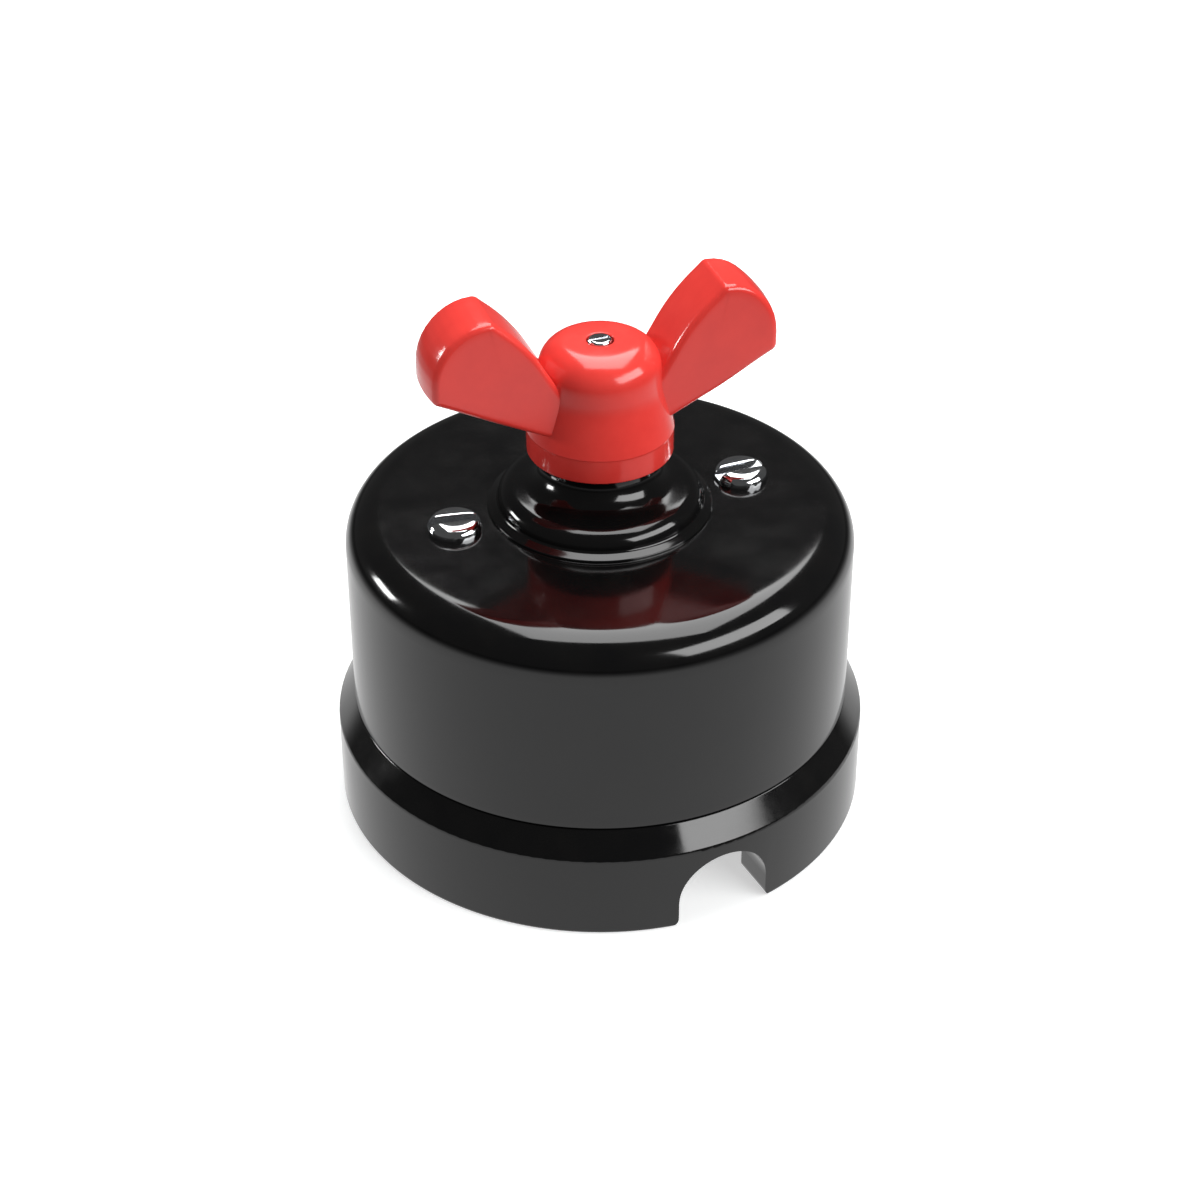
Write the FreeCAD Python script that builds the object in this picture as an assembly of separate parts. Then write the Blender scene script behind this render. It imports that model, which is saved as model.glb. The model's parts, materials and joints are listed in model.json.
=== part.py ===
import FreeCAD, Part
import math
import os
from FreeCAD import Vector

os.makedirs("parts", exist_ok=True)

# Porcelain rotary switch for wall mounting: a glazed drum cover on a flanged base,
# turned by a two-winged knob. Millimetres, +Z out of the wall.
# The origin is the centre of the wall face. X runs along the knob's wings at rest
# and through the two cover screws, and the cable notch opens towards -Y.

# Base
flange_radius = 36.0
flange_height = 12.0
flange_round = 0.8
foot_round = 0.5
shoulder_height = 15.4
shoulder_round = 0.25
rim_wall = 6.3
cavity_height = 10.6
cavity_round = 1.5
deck_height = 17.0
deck_round = 0.5

# Cable notch in the base's rim, an arch with rounded feet
notch_angle = -82.0
notch_width = 12.9
notch_height = 10.2
notch_foot_round = 1.3

# Cover
cover_radius = 33.6
cover_height = 43.6
cover_wall = 3.6
cover_roof = 4.2
rim_round = 4.8
cover_inner_round = 2.4
cover_foot_round = 0.35
spigot_clearance = 0.3

# Stepped boss on the cover: a bead, a groove and a neck under the knob
boss_radius = 14.9
bead_top_radius = 14.4
bead_height = 2.9
bead_round = 1.9
bead_inner_radius = 10.9
groove_radius = 10.2
groove_height = 2.0
neck_foot_radius = 7.4
neck_foot_height = 3.5
neck_foot_round = 2.4
neck_radius = 6.9
boss_height = 7.8
boss_hollow_radius = 5.6
boss_hollow_height = 4.4

# Cover screws, raised heads in shallow seats, and the pillars they screw into
cover_screw_spacing = 39.8
cover_screw_radius = 2.0
cover_screw_length = 15.0
cover_head_radius = 3.6
cover_head_edge = 0.55
cover_head_dome = 1.15
cover_slot_width = 1.05
cover_slot_depth = 1.0
cover_slot_angle = 5.0
seat_clearance = 0.4
seat_depth = 0.45
pillar_flats = 7.0
pillar_top_gap = 0.5

# Screws that come up from under the base
under_head_height = 2.2
pillar_screw_radius = 2.0
pillar_screw_head_radius = 3.6
contact_screw_radius = 1.5
contact_screw_head_radius = 2.8
head_sink = 2.6
screw_hole_clearance = 0.25
thread_clearance = 0.03

# Wall fixing holes through posts under the deck
fixing_angle = 45.0
fixing_spacing = 49.0
fixing_hole_radius = 2.25
fixing_post_radius = 4.6
fixing_seat_radius = 4.3
fixing_seat_depth = 3.0

# Holes that bring the wires up from the cavity to the terminals
wire_angle = 72.0
wire_circle_radius = 25.0
wire_hole_radius = 3.6

# Spindle and its two bearings
spindle_radius = 3.0
spindle_foot = 12.6
spindle_square = 4.4
square_foot = 47.0
spindle_top = 64.6
running_clearance = 0.05
bush_radius = 4.5
bush_flange_radius = 6.0
bush_flange = 1.2
bush_floor = 1.0
bush_fit = 0.05

# Yoke, a bent strip that carries the top bearing
yoke_angle = 135.0
yoke_thickness = 1.2
yoke_width = 13.0
yoke_leg_reach = 14.0
yoke_top = 36.6
yoke_bend_round = 1.4
yoke_foot_reach = 22.5
yoke_screw_reach = 18.6
yoke_screw_radius = 1.5
yoke_screw_head_radius = 2.8
yoke_screw_head = 1.9
yoke_nut_flats = 5.5
yoke_nut_height = 2.2
bush_tail = 2.0

# Rotor with its contact bridge
rotor_radius = 9.4
rotor_foot = 20.0
rotor_height = 7.0
rotor_hub_radius = 4.6
rotor_hub_gap = 0.3
rotor_edge_round = 0.5
bridge_width = 5.0
bridge_thickness = 0.8
bridge_reach = 11.1
bridge_drop = 5.2
bridge_rivet_reach = 6.6
bridge_rivet_radius = 0.9
bridge_rivet_head_radius = 1.6
bridge_rivet_head = 0.6
fit_clearance = 0.05

# Click cam, a square with rounded corners between two leaf springs
cam_flats = 9.0
cam_corner_radius = 5.5
cam_height = 4.0
cam_pin_radius = 0.8
spring_thickness = 0.4
spring_height = 3.2
spring_gap = 0.06
spring_overhang = 1.2
spring_slot_clearance = 0.12

# Thrust washer and retaining ring
washer_radius = 5.2
washer_thickness = 0.5
washer_gap = 0.15
ring_radius = 4.6
ring_thickness = 0.7
ring_groove_depth = 0.5
ring_opening = 3.4

# Fixed contacts with their terminals
contact_width = 6.4
contact_gap = 0.2
contact_thickness = 1.6
contact_height = 9.4
contact_screw_reach = 15.4
terminal_start = 18.2
terminal_end = 26.0
terminal_height = 6.6
terminal_wire_radius = 1.7
terminal_wire_height = 3.6
terminal_screw_radius = 1.6
terminal_screw_head_radius = 2.9
terminal_screw_head = 2.0
contact_edge_round = 0.3

# Knob: a bell-shaped hub with a collar, and two wings
knob_foot = 52.2
knob_collar_radius = 9.6
knob_collar_top = 55.5
knob_lip_radius = 9.8
knob_lip_height = 0.25
knob_waist_radius = 8.2
knob_waist = 61.6
knob_waist_round = 11.0
knob_shoulder_radius = 7.75
knob_shoulder_round = 3.3
knob_top = 68.3
knob_crown = 0.45
knob_hollow_radius = 8.0
knob_hollow_height = 2.6
wing_reach = 23.1
wing_top = 74.9
wing_peak_reach = 15.5
wing_tip_round = 6.7
wing_peak_round = 1.2
wing_heel = 64.6
wing_heel_round = 1.7
wing_slope = 0.47
wing_root_reach = 5.0
wing_crotch = 62.3
wing_thickness = 8.8
wing_edge_round = 0.8

# Brass insert in the knob, and the screw that holds the knob on the spindle
insert_radius = 4.2
insert_foot_gap = 0.6
insert_roof = 1.6
knob_screw_radius = 1.0
knob_screw_length = 9.0
knob_screw_head_radius = 1.55
knob_screw_head = 1.1
knob_screw_sink = 1.25
knob_recess_clearance = 0.35
knob_slot_width = 0.5
knob_slot_depth = 0.5

# Heights and reaches worked out from the sizes above
roof_height = cover_height - cover_roof
spigot_radius = cover_radius - cover_wall - spigot_clearance
cavity_radius = flange_radius - rim_wall
cover_screw_reach = cover_screw_spacing / 2
fixing_reach = fixing_spacing / 2
bush_top = deck_height + bush_flange
rotor_top = rotor_foot + rotor_height
yoke_under = yoke_top - yoke_thickness
washer_top = yoke_under - bush_tail - washer_gap
cam_top = washer_top - washer_thickness - washer_gap
cam_foot = cam_top - cam_height
cam_middle = cam_foot + cam_height / 2
ring_foot = yoke_top + bush_flange + washer_gap
contact_reach = bridge_reach + contact_gap
knob_screw_seat = knob_top - knob_screw_sink
insert_top = spindle_top + insert_roof

UP = Vector(0, 0, 1)
ORIGIN = Vector(0, 0, 0)


def side_view(u, v):
    """A point of an outline drawn in the XZ plane."""
    return Vector(u, 0, v)


def front_view(u, v):
    """A point of an outline drawn in the YZ plane."""
    return Vector(0, u, v)


def plan_view(u, v):
    """A point of an outline drawn in the XY plane."""
    return Vector(u, v, 0)


def outline(corners, place=side_view):
    """A closed face from corners (u, v) or (u, v, rounding radius)."""
    edges = []
    joints = []
    count = len(corners)
    for index in range(count):
        here = Vector(corners[index][0], corners[index][1], 0)
        before = Vector(corners[index - 1][0], corners[index - 1][1], 0)
        after = Vector(corners[(index + 1) % count][0], corners[(index + 1) % count][1], 0)
        radius = corners[index][2] if len(corners[index]) > 2 else 0
        if radius == 0:
            joints.append((here, None, here))
            continue
        back = (before - here).normalize()
        ahead = (after - here).normalize()
        half = back.getAngle(ahead) / 2
        inward = (back + ahead).normalize()
        start = here + back * (radius / math.tan(half))
        end = here + ahead * (radius / math.tan(half))
        middle = here + inward * (radius / math.sin(half) - radius)
        joints.append((start, middle, end))
    for index in range(count):
        start, middle, end = joints[index]
        following = joints[(index + 1) % count][0]
        if middle is not None:
            arc = Part.Arc(place(start.x, start.y), place(middle.x, middle.y), place(end.x, end.y))
            edges.append(arc.toShape())
        if end.distanceToPoint(following) > 1e-6:
            edges.append(Part.makeLine(place(end.x, end.y), place(following.x, following.y)))
    return Part.Face(Part.Wire(edges))


def turned(corners):
    """A solid of revolution about Z from its half section."""
    return outline(corners).revolve(ORIGIN, UP, 360)


def post(radius, foot, top, x=0, y=0):
    """An upright cylinder between two heights."""
    return Part.makeCylinder(radius, top - foot, Vector(x, y, foot), UP)


def hexagon(flats, foot, top, x=0, y=0):
    """An upright hexagonal bar of the given width across flats."""
    corner = flats / math.sqrt(3)
    points = []
    for step in range(6):
        angle = math.radians(60 * step)
        points.append((x + corner * math.cos(angle), y + corner * math.sin(angle)))
    bar = outline(points, plan_view).extrude(UP * (top - foot))
    bar.translate(UP * foot)
    return bar


def box(x0, x1, y0, y1, z0, z1):
    """A block between two corners."""
    return Part.makeBox(x1 - x0, y1 - y0, z1 - z0, Vector(x0, y0, z0))


def turn(shape, degrees):
    """A copy of a shape turned about Z."""
    copy = shape.copy()
    copy.rotate(ORIGIN, UP, degrees)
    return copy


def pair(shape):
    """A shape and its copy half a turn round the axis."""
    return [shape, turn(shape, 180)]


def cut(body, *tools):
    """A body less each of the tools."""
    return body.cut(list(tools))


def join(*shapes):
    """One solid from shapes that meet."""
    first = shapes[0]
    return first.fuse(list(shapes[1:])).removeSplitter()


def screw(radius, length, head_radius, head, seat, slot_width, slot_depth, dome=0.0):
    """A slotted screw on the axis, its head above the seat height and its shank below."""
    corners = [(0, seat - length), (radius, seat - length, radius / 4), (radius, seat), (head_radius, seat)]
    if dome:
        corners = corners + [(head_radius, seat + head, head / 2)]
        crown = Part.Arc(
            side_view(-head_radius, seat + head),
            side_view(0, seat + head + dome),
            side_view(head_radius, seat + head),
        )
        cap = Part.Face(Part.Wire([
            Part.Arc(
                side_view(0, seat + head + dome),
                crown.value((crown.FirstParameter + 3 * crown.LastParameter) / 4),
                side_view(head_radius, seat + head),
            ).toShape(),
            Part.makeLine(side_view(head_radius, seat + head), side_view(0, seat + head)),
            Part.makeLine(side_view(0, seat + head), side_view(0, seat + head + dome)),
        ])).revolve(ORIGIN, UP, 360)
        corners[-1] = (head_radius, seat + head)
        body = turned(corners + [(0, seat + head)]).fuse(cap).removeSplitter()
    else:
        body = turned(corners + [(head_radius, seat + head, head / 3), (0, seat + head)])
    crest = seat + head + dome
    slot = box(-2 * head_radius, 2 * head_radius, -slot_width / 2, slot_width / 2, crest - slot_depth, crest + 1)
    return cut(body, slot)


def under_screw(radius, head_radius, length):
    """A screw that points up from its sunk seat under the deck."""
    seat = cavity_height + head_sink
    shape = screw(radius, length, head_radius, under_head_height, 0, radius / 2, under_head_height / 2)
    shape.rotate(ORIGIN, Vector(1, 0, 0), 180)
    shape.translate(UP * seat)
    return shape


def base():
    """The porcelain base: flange, deck and spigot, hollow towards the wall."""
    body = turned([
        (0, 0),
        (flange_radius, 0, foot_round),
        (flange_radius, flange_height, flange_round),
        (cover_radius, shoulder_height, shoulder_round),
        (spigot_radius, shoulder_height),
        (spigot_radius, deck_height, deck_round),
        (0, deck_height),
    ])
    cavity = turned([
        (0, -1),
        (cavity_radius, -1),
        (cavity_radius, cavity_height, cavity_round),
        (0, cavity_height),
    ])
    body = body.cut(cavity)
    posts = pair(turn(post(fixing_post_radius, 0, deck_height, fixing_reach), fixing_angle))
    body = join(body, *posts)

    tools = [notch_cutter(), post(bush_radius + bush_fit, 0, 2 * deck_height)]
    fixing = join(
        post(fixing_hole_radius, -1, deck_height + 1, fixing_reach),
        post(fixing_seat_radius, deck_height - fixing_seat_depth, deck_height + 1, fixing_reach),
    )
    tools += pair(turn(fixing, fixing_angle))
    wire_hole = post(wire_hole_radius, 0, deck_height + 1, wire_circle_radius)
    tools += pair(turn(wire_hole, wire_angle))
    tools += pair(sunk_hole(pillar_screw_radius, pillar_screw_head_radius, cover_screw_reach))
    contact_hole = sunk_hole(contact_screw_radius, contact_screw_head_radius, contact_screw_reach)
    tools += pair(turn(contact_hole, 90))
    nut_pocket = hexagon(
        yoke_nut_flats + 2 * screw_hole_clearance, 0, cavity_height + head_sink, yoke_screw_reach)
    yoke_hole = post(yoke_screw_radius + screw_hole_clearance, 0, deck_height + 1, yoke_screw_reach)
    tools += pair(turn(nut_pocket.fuse(yoke_hole), yoke_angle))
    return cut(body, *tools)


def sunk_hole(radius, head_radius, reach):
    """A screw hole through the deck with a seat for the head on its underside."""
    hole = post(radius + screw_hole_clearance, 0, deck_height + 1, reach)
    seat = post(head_radius + screw_hole_clearance, 0, cavity_height + head_sink, reach)
    return hole.fuse(seat)


def notch_cutter():
    """The arch that lets the cable in through the rim."""
    half = notch_width / 2
    flare = half + 2 * notch_foot_round
    arch = outline([
        (-flare, -1),
        (-flare, 0),
        (-half, 0, notch_foot_round),
        (-half, notch_height, 0.999 * half),
        (half, notch_height, 0.999 * half),
        (half, 0, notch_foot_round),
        (flare, 0),
        (flare, -1),
    ], front_view)
    reach = 2 * rim_wall
    tunnel = arch.extrude(Vector(reach, 0, 0))
    tunnel.translate(Vector(flange_radius - 1.5 * rim_wall, 0, 0))
    return turn(tunnel, notch_angle)


def cover():
    """The porcelain cover: a drum with a rounded rim and a stepped boss."""
    top = cover_height
    hole_radius = spindle_radius + 1.0
    body = turned([
        (cover_radius - cover_wall, shoulder_height),
        (cover_radius, shoulder_height, cover_foot_round),
        (cover_radius, top, rim_round),
        (boss_radius, top, 0.5),
        (bead_top_radius, top + bead_height, bead_round),
        (bead_inner_radius, top + bead_height, 1.0),
        (groove_radius, top + groove_height, 0.35),
        (neck_foot_radius, top + neck_foot_height, neck_foot_round),
        (neck_radius, top + boss_height, 0.8),
        (hole_radius, top + boss_height),
        (hole_radius, roof_height + boss_hollow_height),
        (boss_hollow_radius, roof_height + boss_hollow_height, 0.8),
        (boss_hollow_radius, roof_height),
        (cover_radius - cover_wall, roof_height, cover_inner_round),
    ])
    hole = post(cover_screw_radius + screw_hole_clearance, roof_height - 1, top + 1, cover_screw_reach)
    seat = post(cover_head_radius + seat_clearance, top - seat_depth, top + 1, cover_screw_reach)
    return cut(body, *pair(hole.fuse(seat)))


def cover_screws():
    """Two raised-head slotted screws, seated just under the cover's face."""
    one = screw(cover_screw_radius, cover_screw_length, cover_head_radius, cover_head_edge,
                cover_height - seat_depth, cover_slot_width, cover_slot_depth, cover_head_dome)
    one = turn(one, cover_slot_angle)
    one.translate(Vector(cover_screw_reach, 0, 0))
    return Part.makeCompound(pair(one))


def cover_pillars():
    """Two hexagonal pillars on the deck, tapped at both ends."""
    top = roof_height - pillar_top_gap
    bar = hexagon(pillar_flats, deck_height, top, cover_screw_reach)
    upper = post(cover_screw_radius + thread_clearance,
                 cover_height - seat_depth - cover_screw_length - 1, top + 1, cover_screw_reach)
    lower = post(pillar_screw_radius + thread_clearance, deck_height - 1,
                 deck_height + pillar_screw_length() - deck_left() + 1, cover_screw_reach)
    return Part.makeCompound(pair(cut(bar, upper, lower)))


def deck_left():
    """Thickness of the deck above a sunk screw head."""
    return deck_height - cavity_height - head_sink


def pillar_screw_length():
    """The pillar's lower screw goes three diameters into it."""
    return deck_left() + 3 * 2 * pillar_screw_radius * 0.5


def pillar_screws():
    """Two screws that hold the pillars from under the base."""
    one = under_screw(pillar_screw_radius, pillar_screw_head_radius, pillar_screw_length())
    one.translate(Vector(cover_screw_reach, 0, 0))
    return Part.makeCompound(pair(one))


def foot_bearing():
    """The brass cup in the base that the spindle stands in."""
    floor = cavity_height + 0.8
    return turned([
        (0, floor),
        (bush_radius, floor, 0.4),
        (bush_radius, deck_height),
        (bush_flange_radius, deck_height),
        (bush_flange_radius, bush_top, 0.3),
        (spindle_radius + running_clearance, bush_top),
        (spindle_radius + running_clearance, floor + bush_floor),
        (0, floor + bush_floor),
    ])


def top_bearing():
    """The flanged brass bush in the yoke."""
    bore = spindle_radius + running_clearance
    return turned([
        (bore, yoke_under - bush_tail),
        (bush_radius, yoke_under - bush_tail, 0.3),
        (bush_radius, yoke_top),
        (bush_flange_radius, yoke_top),
        (bush_flange_radius, yoke_top + bush_flange, 0.3),
        (bore, yoke_top + bush_flange),
    ])


def yoke():
    """The bent steel strip over the rotor, with feet, bearing hole and spring slots."""
    outer = yoke_leg_reach + yoke_thickness / 2
    inner = outer - yoke_thickness
    bend = yoke_bend_round
    slim = bend - yoke_thickness
    foot_top = deck_height + yoke_thickness
    slim = max(slim, 0.1)
    strip = outline([
        (-yoke_foot_reach, deck_height),
        (-inner, deck_height, bend),
        (-inner, yoke_under, slim),
        (inner, yoke_under, slim),
        (inner, deck_height, bend),
        (yoke_foot_reach, deck_height),
        (yoke_foot_reach, foot_top),
        (outer, foot_top, slim),
        (outer, yoke_top, bend),
        (-outer, yoke_top, bend),
        (-outer, foot_top, slim),
        (-yoke_foot_reach, foot_top),
    ])
    body = strip.extrude(Vector(0, yoke_width, 0))
    body.translate(Vector(0, -yoke_width / 2, 0))
    tools = [post(bush_radius + bush_fit, yoke_under - 1, yoke_top + 1)]
    tools += pair(post(yoke_screw_radius + screw_hole_clearance, deck_height - 1, foot_top + 1, yoke_screw_reach))
    near, far = spring_offsets()
    for side in (-1, 1):
        low = min(side * (near - spring_slot_clearance), side * (far + spring_slot_clearance))
        high = max(side * (near - spring_slot_clearance), side * (far + spring_slot_clearance))
        slot_foot = cam_middle - spring_height / 2 - spring_slot_clearance
        slot_top = cam_middle + spring_height / 2 + spring_slot_clearance
        tools.append(box(-2 * outer, 2 * outer, low, high, slot_foot, slot_top))
    return turn(cut(body, *tools), yoke_angle)


def yoke_screws():
    """Two screws through the yoke's feet and the deck."""
    seat = deck_height + yoke_thickness
    length = seat - cavity_height - head_sink + yoke_nut_height
    one = screw(yoke_screw_radius, length, yoke_screw_head_radius, yoke_screw_head, seat, 0.8, 0.9)
    one.translate(Vector(yoke_screw_reach, 0, 0))
    return Part.makeCompound([turn(copy, yoke_angle) for copy in pair(one)])


def yoke_nuts():
    """Two hexagonal nuts in pockets under the deck."""
    top = cavity_height + head_sink
    nut = hexagon(yoke_nut_flats, top - yoke_nut_height, top, yoke_screw_reach)
    bore = post(yoke_screw_radius + thread_clearance, 0, deck_height, yoke_screw_reach)
    return Part.makeCompound([turn(copy, yoke_angle) for copy in pair(cut(nut, bore))])


def fixed_contact():
    """A brass contact blade with its foot and a tunnel terminal, on the +X side."""
    foot_top = deck_height + contact_thickness
    block_top = foot_top + terminal_height
    body = outline([
        (contact_reach, deck_height),
        (terminal_end, deck_height),
        (terminal_end, block_top, 0.6),
        (terminal_start, block_top, 0.6),
        (terminal_start, foot_top, contact_edge_round),
        (contact_reach + contact_thickness, foot_top, contact_edge_round),
        (contact_reach + contact_thickness, deck_height + contact_height, 0.5),
        (contact_reach, deck_height + contact_height, 0.5),
    ]).extrude(Vector(0, contact_width, 0))
    body.translate(Vector(0, -contact_width / 2, 0))
    sweep = post(contact_reach, deck_height - 1, 2 * deck_height)
    wire_z = foot_top + terminal_wire_height
    tunnel = Part.makeCylinder(
        terminal_wire_radius, terminal_end, Vector(terminal_start - 1, 0, wire_z), Vector(1, 0, 0))
    middle = (terminal_start + terminal_end) / 2
    tapped = post(terminal_screw_radius + thread_clearance, wire_z, block_top + 1, middle)
    anchor = post(contact_screw_radius + thread_clearance, deck_height - 1, foot_top + 1, contact_screw_reach)
    return cut(body, sweep, tunnel, tapped, anchor)


def contact_screws():
    """Two screws that hold the fixed contacts from under the base."""
    one = under_screw(contact_screw_radius, contact_screw_head_radius, deck_left() + contact_thickness)
    one.translate(Vector(contact_screw_reach, 0, 0))
    return Part.makeCompound([turn(copy, 90) for copy in pair(one)])


def terminal_screws():
    """Two clamping screws on top of the terminals."""
    seat = deck_height + contact_thickness + terminal_height
    wire_z = deck_height + contact_thickness + terminal_wire_height
    middle = (terminal_start + terminal_end) / 2
    one = screw(terminal_screw_radius, seat - wire_z, terminal_screw_head_radius,
                terminal_screw_head, seat, 0.8, 1.0)
    one.translate(Vector(middle, 0, 0))
    return Part.makeCompound([turn(copy, 90) for copy in pair(one)])


def spindle():
    """The steel spindle: round in its bearings, square in the knob."""
    shaft = post(spindle_radius, spindle_foot, square_foot)
    half = spindle_square / 2
    square = box(-half, half, -half, half, square_foot - 1, spindle_top)
    groove_inner = spindle_radius - ring_groove_depth
    groove = cut(
        post(2 * spindle_radius, ring_foot, ring_foot + ring_thickness + 0.1),
        post(groove_inner, ring_foot - 1, ring_foot + ring_thickness + 1),
    )
    tapped = post(knob_screw_radius + thread_clearance, knob_screw_seat - knob_screw_length - 1, spindle_top + 1)
    cross = Part.makeCylinder(
        cam_pin_radius + fit_clearance, 4 * spindle_radius,
        Vector(-2 * spindle_radius, 0, cam_middle), Vector(1, 0, 0))
    return cut(join(shaft, square), groove, tapped, turn(cross, yoke_angle))


def rotor():
    """The moulded drum that carries the contact bridge."""
    bore = spindle_radius + fit_clearance
    body = turned([
        (bore, bush_top + rotor_hub_gap),
        (rotor_hub_radius, bush_top + rotor_hub_gap),
        (rotor_hub_radius, rotor_foot),
        (rotor_radius, rotor_foot, rotor_edge_round),
        (rotor_radius, rotor_top, rotor_edge_round),
        (rotor_hub_radius, rotor_top),
        (rotor_hub_radius, cam_foot - fit_clearance),
        (bore, cam_foot - fit_clearance),
    ])
    holes = pair(post(bridge_rivet_radius + fit_clearance, rotor_foot - 1, rotor_top + 1, bridge_rivet_reach))
    return cut(body, *[turn(hole, 90) for hole in holes])


def contact_bridge():
    """The sprung strip across the rotor, bent down at both ends."""
    bore = rotor_hub_radius + 2 * fit_clearance
    top = rotor_top + bridge_thickness
    inner = bridge_reach - bridge_thickness
    strip = outline([
        (-inner, rotor_top - bridge_drop),
        (-inner, rotor_top, 0.2),
        (inner, rotor_top, 0.2),
        (inner, rotor_top - bridge_drop),
        (bridge_reach, rotor_top - bridge_drop),
        (bridge_reach, top, 0.9),
        (-bridge_reach, top, 0.9),
        (-bridge_reach, rotor_top - bridge_drop),
    ]).extrude(Vector(0, bridge_width, 0))
    strip.translate(Vector(0, -bridge_width / 2, 0))
    ring = post(rotor_hub_radius + 2.2, rotor_top, top)
    body = strip.fuse(ring).removeSplitter()
    swing = post(bridge_reach, rotor_foot - 2, cam_top)
    holes = pair(post(bridge_rivet_radius + fit_clearance, rotor_top - 1, top + 1, bridge_rivet_reach))
    return turn(cut(body.common(swing), post(bore, rotor_foot, cam_top), *holes), 90)


def bridge_rivets():
    """Two rivets that hold the bridge on the rotor."""
    top = rotor_top + bridge_thickness
    one = join(
        post(bridge_rivet_radius, rotor_foot, top),
        post(bridge_rivet_head_radius, top, top + bridge_rivet_head),
        post(bridge_rivet_head_radius, rotor_foot - bridge_rivet_head, rotor_foot),
    )
    one.translate(Vector(bridge_rivet_reach, 0, 0))
    return Part.makeCompound([turn(copy, 90) for copy in pair(one)])


def click_cam():
    """The square cam whose flats rest against the leaf springs."""
    half = cam_flats / 2
    square = box(-half, half, -half, half, cam_foot, cam_top)
    body = square.common(post(cam_corner_radius, cam_foot - 1, cam_top + 1))
    bore = post(spindle_radius + fit_clearance, cam_foot - 1, cam_top + 1)
    cross = Part.makeCylinder(
        cam_pin_radius + fit_clearance, 2 * cam_flats, Vector(-cam_flats, 0, cam_middle), Vector(1, 0, 0))
    return turn(cut(body, bore, cross), yoke_angle)


def cam_pin():
    """The cross pin that locks the cam to the spindle."""
    length = cam_flats - 0.6
    pin = Part.makeCylinder(cam_pin_radius, length, Vector(-length / 2, 0, cam_middle), Vector(1, 0, 0))
    return turn(pin, yoke_angle)


def spring_offsets():
    """Near and far faces of a leaf spring, measured from the axis."""
    near = cam_flats / 2 + spring_gap
    return near, near + spring_thickness


def click_spring(side):
    """One flat leaf spring, its ends held in the yoke's slots."""
    near, far = spring_offsets()
    reach = yoke_leg_reach + yoke_thickness / 2 + spring_overhang
    low = min(side * near, side * far)
    high = max(side * near, side * far)
    leaf = box(-reach, reach, low, high, cam_middle - spring_height / 2, cam_middle + spring_height / 2)
    return turn(leaf, yoke_angle)


def thrust_washer():
    """The washer between the cam and the top bearing."""
    ring = post(washer_radius, washer_top - washer_thickness, washer_top)
    return cut(ring, post(spindle_radius + fit_clearance, cam_top, yoke_top))


def retaining_ring():
    """The open ring in the spindle's groove, above the top bearing."""
    foot = ring_foot + 0.05
    ring = post(ring_radius, foot, foot + ring_thickness)
    bore = post(spindle_radius - ring_groove_depth + fit_clearance, foot - 1, foot + 2)
    half = ring_opening / 2
    mouth = box(0, 2 * ring_radius, -half, half, foot - 1, foot + 2)
    return cut(ring, bore, mouth)


def knob():
    """The turned bell of the hub with its two wings."""
    hub = turned([
        (0, knob_foot),
        (knob_collar_radius, knob_foot, 0.3),
        (knob_collar_radius, knob_collar_top, 0.08),
        (knob_lip_radius, knob_collar_top + knob_lip_height, 0.1),
        (knob_waist_radius, knob_waist, knob_waist_round),
        (knob_shoulder_radius, knob_top - knob_crown, knob_shoulder_round),
        (0, knob_top),
    ])
    body = join(hub, *pair(wing()))
    hollow = post(knob_hollow_radius, knob_foot - 1, knob_foot + knob_hollow_height)
    seat = post(insert_radius + fit_clearance, knob_foot, insert_top + fit_clearance)
    hole = post(knob_screw_radius + screw_hole_clearance, knob_foot, knob_top + 1)
    recess = post(knob_screw_head_radius + knob_recess_clearance, knob_screw_seat, knob_top + 1)
    return cut(body, hollow, seat, hole, recess)


def wing():
    """One paddle-shaped wing with softened edges, on the +X side."""
    root_foot = wing_heel - wing_slope * (wing_reach - wing_root_reach)
    blade = outline([
        (wing_root_reach, root_foot),
        (wing_reach, wing_heel, wing_heel_round),
        (wing_reach, wing_top, wing_tip_round),
        (wing_peak_reach, wing_top, wing_peak_round),
        (wing_root_reach, wing_crotch),
    ]).extrude(Vector(0, wing_thickness, 0))
    blade.translate(Vector(0, -wing_thickness / 2, 0))
    rims = [edge for edge in blade.Edges if is_rim(edge)]
    return blade.makeFillet(wing_edge_round, rims)


def is_rim(edge):
    """Whether an edge lies on a flat face of the wing and clear of its root."""
    box_of = edge.BoundBox
    on_face = box_of.YLength < 1e-6 and abs(abs(box_of.YMin) - wing_thickness / 2) < 1e-6
    return on_face and box_of.XMax > wing_root_reach + 1e-6


def knob_insert():
    """The brass insert in the knob, with a square hole for the spindle."""
    foot = knob_foot + insert_foot_gap
    body = post(insert_radius, foot, insert_top)
    half = spindle_square / 2 + fit_clearance
    square = box(-half, half, -half, half, foot - 1, spindle_top + 0.2)
    return cut(body, square, post(knob_screw_radius + screw_hole_clearance, foot, insert_top + 1))


def knob_screw():
    """The small screw in the recess on top of the knob."""
    return screw(knob_screw_radius, knob_screw_length, knob_screw_head_radius, knob_screw_head,
                 knob_screw_seat, knob_slot_width, knob_slot_depth)


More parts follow.
